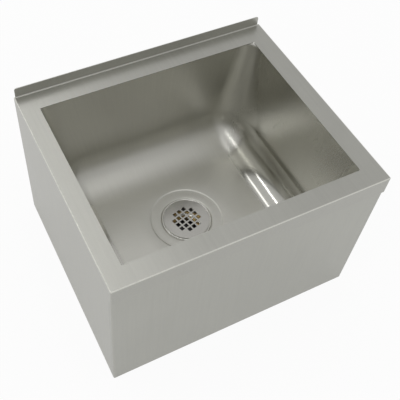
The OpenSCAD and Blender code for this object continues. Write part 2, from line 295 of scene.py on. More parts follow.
def rubbed_edge_group():
    """A mask of the edges: where a rounded normal turns away from the true one."""
    tree, given, result = new_group(
        "rubbed_edge",
        [("Width", "NodeSocketFloat", 0.0015)],
        [("Edge", "NodeSocketFloat")],
    )
    rounded = tree.nodes.new("ShaderNodeBevel")
    rounded.samples = EDGE_SAMPLES
    tree.links.new(given.outputs["Width"], rounded.inputs["Radius"])
    place = tree.nodes.new("ShaderNodeNewGeometry")
    compare = tree.nodes.new("ShaderNodeVectorMath")
    compare.operation = "DOT_PRODUCT"
    tree.links.new(rounded.outputs["Normal"], compare.inputs[0])
    tree.links.new(place.outputs["True Normal"], compare.inputs[1])
    away = add_math(tree, "SUBTRACT", 1.0, compare.outputs["Value"])
    edge = add_math(tree, "MULTIPLY", away, EDGE_GAIN, clamp=True)
    tree.links.new(edge, result.inputs["Edge"])
    return tree


EFFECTS["handling_haze"] = handling_haze_group()
EFFECTS["rubbed_edge"] = rubbed_edge_group()
print("effects:", sorted(EFFECTS))

# %% [markdown]
# ## Finishes
# Three functions make every finish: sheet brushed along lines, metal turned on a lathe, and
# moulded rubber or pressed fibre. Each takes a colour and a roughness and varies both a little.
# The shader itself stays in the material, and only what changes over the surface comes from the
# groups.

# %% Helpers for the finishes
NOISE_LOW, NOISE_HIGH = 0.25, 0.75


def surface_place(tree, kind="Object", turn=(0, 0, 0), middle=(0, 0, 0)):
    source = tree.nodes.new("ShaderNodeTexCoord")
    mapping = tree.nodes.new("ShaderNodeMapping")
    mapping.inputs["Location"].default_value = [-c for c in middle]
    mapping.inputs["Rotation"].default_value = [math.radians(a) for a in turn]
    tree.links.new(source.outputs[kind], mapping.inputs["Vector"])
    return mapping.outputs[0]


def add_effect(tree, name, place=None, **values):
    """One of the shared groups, with its own sizes given by name."""
    node = tree.nodes.new("ShaderNodeGroup")
    node.node_tree = EFFECTS[name]
    if place is not None:
        tree.links.new(place, node.inputs["Surface"])
    for label, value in values.items():
        node.inputs[label.replace("_", " ")].default_value = value
    return node


def spread(tree, noise, low, high):
    """The range that most of a noise lies in, turned into low to high."""
    return add_ramp(tree, noise, NOISE_LOW, NOISE_HIGH, low, high)


def varied(tree, noise, amount):
    """A factor round 1, up or down by the amount."""
    return spread(tree, noise, 1 - amount, 1 + amount)


def raised(tree, mask, amount):
    """A factor of 1, and of 1 plus the amount where the mask is full."""
    return add_math(tree, "MULTIPLY_ADD", mask, amount, 1.0)


def bump_from(tree, height, depth, shader):
    """Fine relief of the depth given, in metres."""
    relief = tree.nodes.new("ShaderNodeBump")
    relief.inputs["Distance"].default_value = depth
    tree.links.new(height, relief.inputs["Height"])
    tree.links.new(relief.outputs["Normal"], shader.inputs["Normal"])


def tinted(tree, colour, amounts):
    """The colour times every amount given, each a value that changes over the surface."""
    total = amounts[0]
    for amount in amounts[1:]:
        total = add_math(tree, "MULTIPLY", total, amount)
    node = tree.nodes.new("ShaderNodeVectorMath")
    node.operation = "SCALE"
    node.inputs[0].default_value = colour
    tree.links.new(total, node.inputs["Scale"])
    return node.outputs[0]


def new_finish(name, metallic):
    finish = bpy.data.materials.new(name)
    finish.use_nodes = True
    shader = finish.node_tree.nodes["Principled BSDF"]
    shader.inputs["Metallic"].default_value = metallic
    return finish, finish.node_tree, shader


# %% Brushed sheet
SHEET_PATCH, SHEET_EDGE = 0.15, 1.5 * MM
SHEET_SPECKLE = 0.015
LINE_SHINE, HAZE_SHINE = 0.1, 0.06


def brushed_metal(name, colour, roughness, turn=(0, 0, 0), lines=1400.0, length=0.02,
                  streak=0.05, haze=0.04, bump=0.02 * MM, edge=0.06, coords="Object",
                  polished=None, painted_light_and_shade=None):
    """Brushed steel. Its "polish" attribute leads to the polished roughness where one is given."""
    finish, tree, shader = new_finish(name, 1.0)
    place = surface_place(tree, coords, turn)
    grain = add_effect(tree, "brushed_lines", place, Lines_per_metre=lines, Line_length=length)
    marks = add_effect(tree, "handling_haze", place, Patch_size=SHEET_PATCH)
    edges = add_effect(tree, "rubbed_edge", Width=SHEET_EDGE)
    amounts = [
        varied(tree, grain.outputs["Streaks"], streak),
        varied(tree, marks.outputs["Haze"], haze),
        varied(tree, marks.outputs["Speckle"], SHEET_SPECKLE),
        raised(tree, edges.outputs["Edge"], edge),
    ]
    # painted light and shade: masks that raise or lower the colour by place
    if painted_light_and_shade:
        amounts += painted_light_and_shade(tree)
    tree.links.new(tinted(tree, colour, amounts), shader.inputs["Base Color"])
    if polished is not None:
        level = tree.nodes.new("ShaderNodeAttribute")
        level.attribute_name = "polish"
        roughness = add_math(tree, "MULTIPLY_ADD", level.outputs["Fac"],
                             polished - roughness, roughness)
    rough = add_math(tree, "MULTIPLY", varied(tree, grain.outputs["Height"], LINE_SHINE), roughness)
    rough = add_math(tree, "MULTIPLY", rough, varied(tree, marks.outputs["Haze"], HAZE_SHINE))
    tree.links.new(rough, shader.inputs["Roughness"])
    bump_from(tree, grain.outputs["Height"], bump, shader)
    return finish


# %% Turned metal
TURNED_PATCH, TURNED_EDGE = 0.05, 0.8 * MM
RING_SHADE, TURNED_SHINE = 0.03, 0.15


def turned_metal(name, colour, roughness, middle, pitch=1.2 * MM, bump=0.03 * MM,
                 haze=0.05, edge=0.1):
    """Metal turned on a lathe, with rings round the middle given."""
    finish, tree, shader = new_finish(name, 1.0)
    place = surface_place(tree, middle=middle)
    rings = add_effect(tree, "turned_rings", place, Ring_pitch=pitch)
    marks = add_effect(tree, "handling_haze", place, Patch_size=TURNED_PATCH)
    edges = add_effect(tree, "rubbed_edge", Width=TURNED_EDGE)
    amounts = [
        varied(tree, rings.outputs["Height"], RING_SHADE),
        varied(tree, marks.outputs["Haze"], haze),
        raised(tree, edges.outputs["Edge"], edge),
    ]
    tree.links.new(tinted(tree, colour, amounts), shader.inputs["Base Color"])
    shine = varied(tree, marks.outputs["Haze"], TURNED_SHINE)
    tree.links.new(add_math(tree, "MULTIPLY", shine, roughness), shader.inputs["Roughness"])
    bump_from(tree, rings.outputs["Height"], bump, shader)
    return finish


# %% Moulded rubber and pressed fibre
MOULDED_EDGE, MOULDED_GLINT = 1 * MM, 0.5
MOULDED_DARK, MOULDED_PALE = 0.75, 1.3
MOULDED_SPECKLE, MOULDED_SHINE = 0.15, 0.1


def moulded(name, colour, roughness, patch=0.03, bump=0.08 * MM):
    """A dark, matt piece with pale patches, speckle and worn edges."""
    finish, tree, shader = new_finish(name, 0.0)
    place = surface_place(tree)
    marks = add_effect(tree, "handling_haze", place, Patch_size=patch)
    edges = add_effect(tree, "rubbed_edge", Width=MOULDED_EDGE)
    amounts = [
        spread(tree, marks.outputs["Haze"], MOULDED_DARK, MOULDED_PALE),
        varied(tree, marks.outputs["Speckle"], MOULDED_SPECKLE),
        raised(tree, edges.outputs["Edge"], MOULDED_GLINT),
    ]
    tree.links.new(tinted(tree, colour, amounts), shader.inputs["Base Color"])
    shine = varied(tree, marks.outputs["Haze"], MOULDED_SHINE)
    tree.links.new(add_math(tree, "MULTIPLY", shine, roughness), shader.inputs["Roughness"])
    bump_from(tree, marks.outputs["Speckle"], bump, shader)
    return finish


# %% [markdown]
# ## Painted light and shade
# The folds round the deck get a painted highlight, the front gets painted shade and is a little
# darker, and the tub's back wall gets painted light, brighter than this steel comes out under these
# lamps. One picture doesn't tell how much of that is wear, brushing or the light. These are plain
# masks on where a point lies on its piece, with their amounts given, and the front panel has a
# slightly darker steel of its own, which is painted shade.

# %% Painted highlight on the deck's folds, painted shade on its front lip, painted light on the tub's back wall
deck_low, deck_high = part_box("deck_rim")
DECK_TOP = 406.4 * MM
FOLD_R = 2.6 * MM
# painted highlight on the deck's folds, and painted shade on its front lip
FOLD_FILL, FOLD_GLINT = 2.0, 0.75
LIP_SHADE = 0.07
# painted light that brightens the tub's back wall
BACK_WALL_FROM, BACK_WALL_TO = 195 * MM, 224 * MM
BACK_WALL_LIFT = 0.24


def place_on_piece(tree):
    """The X, Y and Z of each point, as three outputs."""
    source = tree.nodes.new("ShaderNodeTexCoord")
    split = tree.nodes.new("ShaderNodeSeparateXYZ")
    tree.links.new(source.outputs["Object"], split.inputs[0])
    return split.outputs


def deck_painted_glint_and_shade(tree):
    """A painted highlight along the folds round the top, and painted shade on the front lip."""
    place = place_on_piece(tree)
    front = add_ramp(tree, place["Y"], deck_low.y + FOLD_R, deck_low.y)
    left = add_ramp(tree, place["X"], deck_low.x + FOLD_R, deck_low.x)
    right = add_ramp(tree, place["X"], deck_high.x - FOLD_R, deck_high.x)
    top = add_ramp(tree, place["Z"], DECK_TOP - FOLD_R, DECK_TOP)
    side = add_math(tree, "MAXIMUM", add_math(tree, "MAXIMUM", left, right), front)
    fold = add_math(tree, "MULTIPLY", side, top)
    fold = add_math(tree, "MULTIPLY", fold, FOLD_FILL, clamp=True)
    lip = add_math(tree, "MULTIPLY", front, add_math(tree, "SUBTRACT", 1.0, top))
    return [raised(tree, fold, FOLD_GLINT), raised(tree, lip, -LIP_SHADE)]


def back_wall_painted_light(tree):
    """Painted light: the tub's colour raised where its back wall stands."""
    back = add_ramp(tree, place_on_piece(tree)["Y"], BACK_WALL_FROM, BACK_WALL_TO,
                    1.0, 1.0 + BACK_WALL_LIFT, soft=True)
    return [back]


print("deck box:", tuple(deck_low), tuple(deck_high))

# %% The finishes of this sink
STEEL = (0.502, 0.500, 0.462)
# the same steel made darker for the front panel: painted shade
FRONT_STEEL_PAINTED_SHADE = (0.470, 0.470, 0.432)
TUB_COLOUR = (0.585, 0.580, 0.536)
MILL_COLOUR = (0.40, 0.40, 0.385)
CAST_COLOUR = (0.66, 0.655, 0.62)
STRAINER_COLOUR = (0.54, 0.53, 0.495)
BRASS_COLOUR = (0.62, 0.44, 0.19)
RUBBER_COLOUR = (0.035, 0.035, 0.036)
FIBRE_COLOUR = (0.27, 0.07, 0.04)
SHEET_ROUGHNESS = 0.34
LINES_TO_BACK, LINES_UPRIGHT = (0, 0, 90), (0, 90, 0)
drain_low, drain_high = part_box("drain_body")
drain_middle = (drain_low + drain_high) / 2
drain_middle.z = 0

FINISHES = {
    # the deck's steel carries the painted highlight on its folds and painted shade on its front lip
    "rail_steel": brushed_metal(
        "rail_steel", STEEL, SHEET_ROUGHNESS, turn=LINES_TO_BACK, streak=0.03, painted_light_and_shade=deck_painted_glint_and_shade),
    # the front panel's steel, darker as painted shade
    "front_steel_painted_shade": brushed_metal(
        "front_steel_painted_shade", FRONT_STEEL_PAINTED_SHADE, SHEET_ROUGHNESS, turn=LINES_UPRIGHT, streak=0.02, haze=0.03),
    "panel_steel": brushed_metal(
        "panel_steel", STEEL, SHEET_ROUGHNESS, turn=LINES_UPRIGHT, streak=0.02, haze=0.03),
    # the tub's steel carries painted light on its back wall
    "tub_steel": brushed_metal(
        "tub_steel", TUB_COLOUR, 0.38, coords="UV", streak=0.02, haze=0.02, bump=0.001 * MM,
        polished=0.14, painted_light_and_shade=back_wall_painted_light),
    "mill_steel": brushed_metal("mill_steel", MILL_COLOUR, 0.42, haze=0.1),
    "cast_drain": turned_metal("cast_drain", CAST_COLOUR, 0.17, drain_middle),
    "strainer_steel": turned_metal(
        "strainer_steel", STRAINER_COLOUR, 0.2, drain_middle, pitch=2 * MM),
    "brass": turned_metal("brass", BRASS_COLOUR, 0.32, drain_middle, haze=0.15),
    "black_rubber": moulded("black_rubber", RUBBER_COLOUR, 0.62),
    "red_fibre": moulded("red_fibre", FIBRE_COLOUR, 0.7, patch=0.015),
}
print("finishes:", sorted(FINISHES))

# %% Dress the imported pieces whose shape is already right


def dress_node(node, finish):
    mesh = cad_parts[node].data
    mesh.materials.clear()
    mesh.materials.append(FINISHES[finish])


for node, finish in {
    "deck_rim": "rail_steel",
    # the front panel takes the darker steel: painted shade
    "front_skirt": "front_steel_painted_shade",
    "left_skirt": "panel_steel",
    "right_skirt": "panel_steel",
    "rear_top_rail": "mill_steel",
    "rear_base_rail": "mill_steel",
    "flange_bead": "black_rubber",
    "rubber_washer": "black_rubber",
    "friction_washer": "red_fibre",
    "pipe_gasket": "black_rubber",
}.items():
    dress_node(node, finish)
    print(node, "in", finish)

# %% [markdown]
# ## Pressed tub
# The real bowl is drawn from one sheet. Its floor sweeps up into the front and back walls in long
# coves, the side coves are rounder, and the upright corners widen into both. Its reflections show
# the smallest kink, so it is lofted from rings of points: rounded rectangles whose corners grow
# smoothly from the deck down to the cove, and sections of an ellipsoid below. Each point also
# carries how far it is polished, because in the photograph the right cove shines more than the
# walls and the floor. The left one is made like it. The sheet gets its thickness outwards at the
# end.

# %% Sizes of the tub, from its packed box
tub_low, tub_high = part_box("bowl")
TUB_SHEET = 1.2 * MM
TUB_FLANGE = 7 * MM
SIDE_LEAN = 15 * MM
END_LEAN = 2 * MM
COVE_R = 80 * MM
END_COVE = 110 * MM
CORNER_R = 46 * MM
FLOOR_Z = 101.6 * MM
top_edge = TUB_SHEET + TUB_FLANGE
TUB_X = (tub_low.x + top_edge, tub_high.x - top_edge)
TUB_Y = (tub_low.y + top_edge, tub_high.y - top_edge)
WALL_TOP = tub_high.z - FLOOR_Z
WALL_RUN = WALL_TOP - COVE_R
print("tub opening:", [round(high - low, 4) for low, high in (TUB_X, TUB_Y)])

# %% One ring round the tub's walls and coves
CORNER_STEPS = 40
SIDE_STEPS = 24


def corner_angles(corner):
    """Directions round one corner, in radians. Corner 0 is the front right one."""
    return [math.radians(90 * (corner - 1 + step / CORNER_STEPS))
            for step in range(CORNER_STEPS + 1)]


def tub_ring(height, down, grow=0.0):
    """Points round the tub at one height above its floor, from the front right corner round."""
    z = FLOOR_Z + height
    low = max(0.0, 1 - height / COVE_R)
    part = math.sqrt(1 - low * low)
    side = SIDE_LEAN * down + COVE_R * (1 - part) - grow
    end = END_LEAN * down + END_COVE * (1 - part) - grow
    reach_x = (CORNER_R + (COVE_R - CORNER_R) * down) * part + grow
    reach_y = (CORNER_R + (END_COVE - CORNER_R) * down) * part + grow
    left, right = TUB_X[0] + side + reach_x, TUB_X[1] - side - reach_x
    front, back = TUB_Y[0] + end + reach_y, TUB_Y[1] - end - reach_y
    centres = [(right, front), (right, back), (left, back), (left, front)]
    points = []
    for corner, (cx, cy) in enumerate(centres):
        for angle in corner_angles(corner):
            x, y = reach_x * math.cos(angle), reach_y * math.sin(angle)
            points.append(Vector((cx + x, cy + y, z)))
        next_x, next_y = centres[(corner + 1) % 4]
        start, stop = points[-1], Vector((next_x + x, next_y + y, z))
        points += [start.lerp(stop, step / SIDE_STEPS) for step in range(1, SIDE_STEPS)]
    return points


print("points in a ring:", len(tub_ring(WALL_TOP, 0.0)))

# %% Where the tub is polished
WALL_POLISH = 0.5
POLISH_RISE = (0.7, 1.0)  # shares of the way down the wall
FLOOR_DULLS = (0.990, 0.9995)  # shares of the way down the cove
SIDE_TURN = (0.15, 0.85)  # how far a point faces left or right
CORNER_DULLING = 0.5


def smooth(value, low, high):
    """0 below low, 1 above high, and a soft step between."""
    t = min(max((value - low) / (high - low), 0.0), 1.0)
    return t * t * (3 - 2 * t)


def side_shares():
    """For each point of a ring: 1 on the left and right, 0 in front and behind, soft between."""
    shares = []
    for corner in range(4):
        for angle in corner_angles(corner):
            dulling = CORNER_DULLING * abs(math.sin(2 * angle))
            shares.append(smooth(abs(math.cos(angle)), *SIDE_TURN) * (1 - dulling))
        shares += [shares[-1]] * (SIDE_STEPS - 1)
    return shares


def ring_polish(height, down):
    """How far a whole ring is polished: most in the cove, and not at all on the floor."""
    polish = WALL_POLISH + (1 - WALL_POLISH) * smooth(down, *POLISH_RISE)
    return polish - smooth(1 - height / COVE_R, *FLOOR_DULLS)


print("polish at the cove's top:", ring_polish(COVE_R, 1.0))

# %% All rings, from the weld flange to the drain's hole
WALL_STEPS = 24
COVE_STEPS = 40
FLOOR_STEPS = 4
COVE_FOOT = 0.01 * MM
DISH_R = 92 * MM
DISH_Z = tub_low.z + TUB_SHEET
DISH_PROFILE = (  # radius and depth in millimetres
    (91.2, 0.1), (90.4, 0.4), (89.6, 0.75), (88.8, 0.95), (87.8, 1.05),
    (78, 1.2), (66, 1.3), (64.2, 1.4), (63.4, 3.8),
)
HOLE_R = 45.5 * MM


def round_ring(radius, z):
    """As many points round the drain, turned so that they lie opposite the corners."""
    step = math.pi / 2 / (CORNER_STEPS + SIDE_STEPS)
    first = -math.pi / 4 - step * CORNER_STEPS / 2
    return [
        Vector((drain_middle.x + radius * math.cos(first + step * k),
                drain_middle.y + radius * math.sin(first + step * k), z))
        for k in range(4 * (CORNER_STEPS + SIDE_STEPS))
    ]


def tub_rings():
    """Rings from the weld flange down to the drain's hole, each with how far it is polished."""
    rings = [(tub_ring(WALL_TOP, 0.0, TUB_FLANGE), WALL_POLISH)]
    heights = [WALL_TOP - WALL_RUN * step / WALL_STEPS for step in range(WALL_STEPS + 1)]
    for step in range(1, COVE_STEPS):
        heights.append(COVE_R * (1 - math.sin(math.radians(90 * step / COVE_STEPS))))
    heights.append(COVE_FOOT)
    for height in heights:
        down = min(1.0, (WALL_TOP - height) / WALL_RUN)
        rings.append((tub_ring(height, down), ring_polish(height, down)))
    foot, edge = rings[-1][0], round_ring(DISH_R, FLOOR_Z)
    for step in range(1, FLOOR_STEPS):
        rings.append(([a.lerp(b, step / FLOOR_STEPS) for a, b in zip(foot, edge)], 0.0))
    rings.append((edge, 0.0))
    for radius, depth in DISH_PROFILE:
        rings.append((round_ring(radius * MM, FLOOR_Z - depth * MM), 0.0))
    rings.append((round_ring(HOLE_R, DISH_Z), 0.0))
    return rings


rings, levels = zip(*tub_rings())
polish = [level * share for level in levels for share in side_shares()]
print("tub rings:", len(rings), "polish from", min(polish), "to", max(polish))

# %% A mesh through rings


def new_piece(name, mesh, finish, body="sink"):
    piece = bpy.data.objects.new(name, mesh)
    scene.collection.objects.link(piece)
    mesh.materials.append(FINISHES[finish])
    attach(piece, body)
    return piece


def loft(name, rings, polish=None):
    """A mesh through closed rings, with a UV map in metres: across the rings, then along them."""
    mesh = bpy.data.meshes.new(name)
    count = len(rings[0])
    faces = []
    for row in range(len(rings) - 1):
        here, below = row * count, (row + 1) * count
        for k in range(count):
            after = (k + 1) % count
            faces.append((below + k, below + after, here + after, here + k))
    mesh.from_pydata([tuple(point) for ring in rings for point in ring], [], faces)
    around = [0.0]
    for k in range(count):
        around.append(around[-1] + (rings[0][(k + 1) % count] - rings[0][k]).length)
    across = [0.0]
    for row in range(len(rings) - 1):
        gaps = [(a - b).length for a, b in zip(rings[row], rings[row + 1])]
        across.append(across[-1] + max(gaps))
    layer = mesh.uv_layers.new(name="surface")
    for polygon in mesh.polygons:
        last = polygon.index % count == count - 1
        for loop in polygon.loop_indices:
            vertex = mesh.loops[loop].vertex_index
            ring, point = divmod(vertex, count)
            turn = around[count] if point == 0 and last else around[point]
            layer.data[loop].uv = (across[ring], turn)
    if polish:
        level = mesh.attributes.new("polish", "FLOAT", "POINT")
        level.data.foreach_set("value", polish)
    mesh.shade_smooth()
    return mesh


# %% Loft the tub and give it its sheet thickness
tub = new_piece("bowl_tub", loft("bowl_tub", rings, polish), "tub_steel")
sheet = tub.modifiers.new("sheet", "SOLIDIFY")
sheet.thickness = TUB_SHEET
sheet.offset = -1
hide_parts("bowl")
print("tub faces:", len(tub.data.polygons), "in", len(rings), "rings")

# %% [markdown]
# ## Drain cup
# The drain is a casting turned on a lathe: a broad rim with a recess for the strainer, a cup, and
# a neck for the pipe seal. A lathe profile swept round the axis gives all of it. The thread
# outside is a real helix, so that what shows of it beside the nut doesn't look like loose rings.

# %% Lathe profile of the drain cup
BODY_R = 44.45 * MM
RIM_R = 62.5 * MM
RIM_TOP = drain_high.z
RIM_UNDER = RIM_TOP - 3.4 * MM
RECESS_R = 57.6 * MM
RECESS_Z = RIM_TOP - 2.2 * MM
CUP_R = 41.3 * MM
SHOULDER_Z = 62 * MM
NECK_R = 38 * MM
LIP_R = 31.05 * MM
LIP_Z = 30 * MM
END_Z = drain_low.z
CHAMFER, SMALL_CHAMFER = 0.8 * MM, 0.5 * MM
CROWN = (  # millimetres in from the rim's edge, and down from its top
    (0, 1.9), (0.3, 1.2), (0.8, 0.6), (1.5, 0.15), (2.2, 0), (3, 0.1), (3.7, 0.5),
)
WALL_R, WALL_DROP = RECESS_R + 0.6 * MM, 1.1 * MM


def drain_profile():
    """Radius and height, from under the rim over its crown and down the inside to the open end."""
    crown = [(RIM_R - inward * MM, RIM_TOP - down * MM) for inward, down in CROWN]
    return [
        (BODY_R, RIM_UNDER), (RIM_R - SMALL_CHAMFER, RIM_UNDER),
        (RIM_R, RIM_UNDER + SMALL_CHAMFER), *crown,
        (WALL_R, RIM_TOP - WALL_DROP), (WALL_R, RECESS_Z),
        (CUP_R + CHAMFER, RECESS_Z), (CUP_R, RECESS_Z - CHAMFER), (CUP_R, SHOULDER_Z),
        (NECK_R, SHOULDER_Z), (NECK_R, LIP_Z), (LIP_R, LIP_Z), (LIP_R, END_Z + SMALL_CHAMFER),
        (LIP_R + SMALL_CHAMFER, END_Z), (BODY_R - CHAMFER, END_Z), (BODY_R, END_Z + CHAMFER),
    ]


print("drain profile points:", len(drain_profile()))

# %% Sweep it round, with a thread outside
LATHE_STEPS = 128
THREAD_PITCH = 2.3 * MM
THREAD_DEPTH = 0.45 * MM
THREAD_TOP = 93 * MM
THREAD_END = 64 * MM
THREAD_ROWS = 6  # in each turn
THREAD_FADE = 6  # it runs out over a sixth of its length at each end
SEAM_GAP = 0.001 * MM
SHARP_ANGLE = math.radians(30)


def turned_point(radius, height, step):
    angle = 2 * math.pi * step / LATHE_STEPS
    return Vector((drain_middle.x + radius * math.cos(angle),
                   drain_middle.y + radius * math.sin(angle), height))


def drain_rings():
    """The profile's rings, then the thread's from its foot up, and the first ring again."""
    rings = [[turned_point(r, z, k) for k in range(LATHE_STEPS)] for r, z in drain_profile()]
    rows = int((THREAD_TOP - THREAD_END) / THREAD_PITCH * THREAD_ROWS)
    for row in range(rows + 1):
        up = row / rows
        height = THREAD_END + (THREAD_TOP - THREAD_END) * up
        fade = min(1.0, THREAD_FADE * up, THREAD_FADE * (1 - up))
        ring = []
        for k in range(LATHE_STEPS):
            phase = 2 * math.pi * (height / THREAD_PITCH - k / LATHE_STEPS)
            cut = THREAD_DEPTH * fade * (0.5 - 0.5 * math.cos(phase))
            ring.append(turned_point(BODY_R - cut, height, k))
        rings.append(ring)
    rings.append([p.copy() for p in rings[0]])
    return rings


def close_seam(mesh):
    """Joins points that lie together, turns every face outwards and keeps sharp edges sharp."""
    work = bmesh.new()
    work.from_mesh(mesh)
    bmesh.ops.remove_doubles(work, verts=work.verts, dist=SEAM_GAP)
    bmesh.ops.recalc_face_normals(work, faces=work.faces)
    work.to_mesh(mesh)
    work.free()
    mesh.shade_smooth()
    mesh.set_sharp_from_angle(angle=SHARP_ANGLE)
    return mesh


drain = new_piece("drain_cup", close_seam(loft("drain_cup", drain_rings())), "cast_drain")
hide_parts("drain_body")
print("drain faces:", len(drain.data.polygons))

# %% [markdown]
# ## Strainer
# The strainer is a round stamping with a grid of square holes, its corners left out so that it
# fits the circle. What repeats follows a rule, so Geometry Nodes lay it out: points of a grid,
# those too far out dropped, a small square on each, and the disc filled round them. The result is
# made a plain mesh that lifts with its body.

# %% Geometry Nodes helpers


def geometry_tree(name, inputs):
    """A tree with named sizes, and its input and output nodes."""
    tree = bpy.data.node_groups.new(name, "GeometryNodeTree")
    add_socket = tree.interface.new_socket
    add_socket(name="Geometry", in_out="INPUT", socket_type="NodeSocketGeometry")
    for label, kind, value in inputs:
        add_socket(name=label, in_out="INPUT", socket_type=kind).default_value = value
    add_socket(name="Geometry", in_out="OUTPUT", socket_type="NodeSocketGeometry")
    return tree, tree.nodes.new("NodeGroupInput"), tree.nodes.new("NodeGroupOutput")


def set_inputs(modifier, values):
    """Sets a tree's sizes on its modifier, which knows each socket by its identifier."""
    for item in modifier.node_group.interface.items_tree:
        if item.item_type == "SOCKET" and item.in_out == "INPUT" and item.name in values:
            modifier[item.identifier] = values[item.name]


def grown_mesh(name, tree, values):
    """Runs a node tree on an empty object and returns its result as a plain mesh."""
    seed = bpy.data.objects.new(name + "_seed", bpy.data.meshes.new(name + "_seed"))
    scene.collection.objects.link(seed)
    modifier = seed.modifiers.new("grow", "NODES")
    modifier.node_group = tree
    set_inputs(modifier, values)
    bpy.context.view_layer.update()
    evaluated = seed.evaluated_get(bpy.context.evaluated_depsgraph_get())
    mesh = bpy.data.meshes.new_from_object(evaluated)
    mesh.name = name
    seed.modifiers.remove(modifier)
    bpy.data.objects.remove(seed)
    return mesh


# %% Perforated disc
PLATE_R = 57.15 * MM
PLATE_T = 2 * MM
HOLE_SIDE = 9.6 * MM
HOLE_PITCH = 13.8 * MM
HOLE_ROWS = 5
HOLE_TURN = math.radians(15)
HOLE_CORNER_R, HOLE_CORNER_STEPS = 0.8 * MM, 4
GRID_REACH = 0.65  # of the grid's span, past which its corner points are dropped
SAME_POINT = 0.01 * MM


def strainer_tree():
    """Grid, holes, disc, thickness, place and finish, in that order."""
    tree, given, result = geometry_tree("perforated_disc", [
        ("Radius", "NodeSocketFloat", PLATE_R),
        ("Thickness", "NodeSocketFloat", PLATE_T),
        ("Hole side", "NodeSocketFloat", HOLE_SIDE),
        ("Hole pitch", "NodeSocketFloat", HOLE_PITCH),
        ("Rows", "NodeSocketInt", HOLE_ROWS),
        ("Turn", "NodeSocketFloat", HOLE_TURN),
        ("Centre", "NodeSocketVector", (0.0, 0.0, 0.0)),
    ])
    link = tree.links.new
    steps = add_math(tree, "SUBTRACT", given.outputs["Rows"], 1)
    span = add_math(tree, "MULTIPLY", steps, given.outputs["Hole pitch"])
    grid = tree.nodes.new("GeometryNodeMeshGrid")
    link(span, grid.inputs["Size X"])
    link(span, grid.inputs["Size Y"])
    link(given.outputs["Rows"], grid.inputs["Vertices X"])
    link(given.outputs["Rows"], grid.inputs["Vertices Y"])
    place = tree.nodes.new("GeometryNodeInputPosition")
    reach = tree.nodes.new("ShaderNodeVectorMath")
    reach.operation = "LENGTH"
    link(place.outputs[0], reach.inputs[0])
    limit = add_math(tree, "MULTIPLY", span, GRID_REACH)
    far = tree.nodes.new("FunctionNodeCompare")
    far.data_type = "FLOAT"
    far.operation = "GREATER_THAN"
    link(reach.outputs["Value"], far.inputs["A"])
    link(limit, far.inputs["B"])
    drop = tree.nodes.new("GeometryNodeDeleteGeometry")
    drop.domain = "POINT"
    link(grid.outputs["Mesh"], drop.inputs["Geometry"])
    link(far.outputs[0], drop.inputs["Selection"])
    square = tree.nodes.new("GeometryNodeCurvePrimitiveQuadrilateral")
    link(given.outputs["Hole side"], square.inputs["Width"])
    link(given.outputs["Hole side"], square.inputs["Height"])
    soft = tree.nodes.new("GeometryNodeFilletCurve")
    soft.mode = "POLY"
    soft.inputs["Count"].default_value = HOLE_CORNER_STEPS
    soft.inputs["Radius"].default_value = HOLE_CORNER_R
    link(square.outputs[0], soft.inputs["Curve"])
    holes = tree.nodes.new("GeometryNodeInstanceOnPoints")
    link(drop.outputs[0], holes.inputs["Points"])
    link(soft.outputs[0], holes.inputs["Instance"])
    turned = tree.nodes.new("GeometryNodeTransform")
    angle = tree.nodes.new("ShaderNodeCombineXYZ")
    link(given.outputs["Turn"], angle.inputs["Z"])
    link(holes.outputs[0], turned.inputs["Geometry"])
    link(angle.outputs[0], turned.inputs["Rotation"])
    real = tree.nodes.new("GeometryNodeRealizeInstances")
    link(turned.outputs[0], real.inputs[0])
    rim = tree.nodes.new("GeometryNodeCurvePrimitiveCircle")
    rim.mode = "RADIUS"
    rim.inputs["Resolution"].default_value = LATHE_STEPS
    link(given.outputs["Radius"], rim.inputs["Radius"])
    outline = tree.nodes.new("GeometryNodeJoinGeometry")
    link(real.outputs[0], outline.inputs[0])
    link(rim.outputs[0], outline.inputs[0])
    disc = tree.nodes.new("GeometryNodeFillCurve")
    disc.mode = "TRIANGLES"
    link(outline.outputs[0], disc.inputs["Curve"])
    thick = tree.nodes.new("GeometryNodeExtrudeMesh")
    thick.inputs["Individual"].default_value = False
    link(disc.outputs[0], thick.inputs["Mesh"])
    up = tree.nodes.new("ShaderNodeCombineXYZ")
    up.inputs["Z"].default_value = 1.0
    link(up.outputs[0], thick.inputs["Offset"])
    link(given.outputs["Thickness"], thick.inputs["Offset Scale"])
    under = tree.nodes.new("GeometryNodeFlipFaces")
    link(disc.outputs[0], under.inputs[0])
    whole = tree.nodes.new("GeometryNodeJoinGeometry")
    link(thick.outputs["Mesh"], whole.inputs[0])
    link(under.outputs[0], whole.inputs[0])
    merged = tree.nodes.new("GeometryNodeMergeByDistance")
    merged.inputs["Distance"].default_value = SAME_POINT
    link(whole.outputs[0], merged.inputs["Geometry"])
    placed = tree.nodes.new("GeometryNodeTransform")
    link(merged.outputs[0], placed.inputs["Geometry"])
    link(given.outputs["Centre"], placed.inputs["Translation"])
    last = tree.nodes.new("GeometryNodeRealizeInstances")
    link(placed.outputs[0], last.inputs[0])
    finish = tree.nodes.new("GeometryNodeSetMaterial")
    finish.inputs["Material"].default_value = FINISHES["strainer_steel"]
    link(last.outputs[0], finish.inputs["Geometry"])
    link(finish.outputs[0], result.inputs[0])
    return tree


disc_tree = strainer_tree()
print("strainer tree nodes:", len(disc_tree.nodes))

# %% The strainer as a plain mesh with softened edges


def soften_edges(piece, width, from_angle):
    """A small bevel along every edge that is sharper than the angle."""
    bevel = piece.modifiers.new("soft_edge", "BEVEL")
    bevel.width = width
    bevel.segments = 2
    bevel.limit_method = "ANGLE"
    bevel.angle_limit = from_angle


